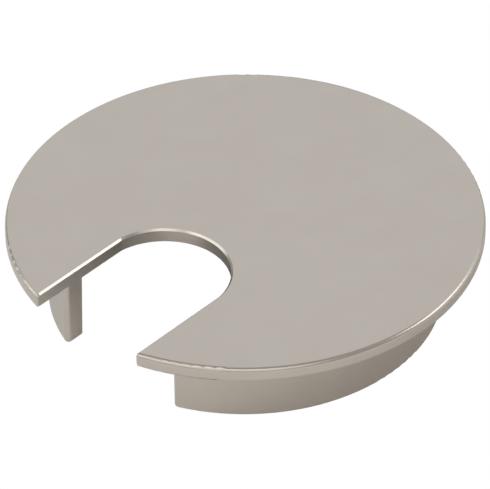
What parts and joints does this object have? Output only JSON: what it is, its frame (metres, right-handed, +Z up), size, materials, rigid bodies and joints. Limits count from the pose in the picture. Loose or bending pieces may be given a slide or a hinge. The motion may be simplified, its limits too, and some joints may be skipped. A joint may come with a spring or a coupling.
{
  "type": "desk grommet",
  "caption": "Round metal desk cable grommet: a thin flange with a U slot open at the rim, over a C-shaped skirt that drops into a round hole.",
  "frame": {"origin": "on the axis of the desk hole, in the plane of the desk top, which is the underside of the gasket", "axes": "+Z up out of the desk, along the axis of the hole; the cable slot opens towards -Y; +X to the right when looking along +Y"},
  "size_m": [0.0762, 0.0746, 0.0147],
  "materials": {
    "satin_nickel": "satin nickel plate on die-cast zinc",
    "gasket_rubber": "matt black rubber sheet"
  },
  "bodies": {
    "root": {"grommet_body": "satin_nickel", "seat_gasket": "gasket_rubber"}
  },
  "joints": []
}
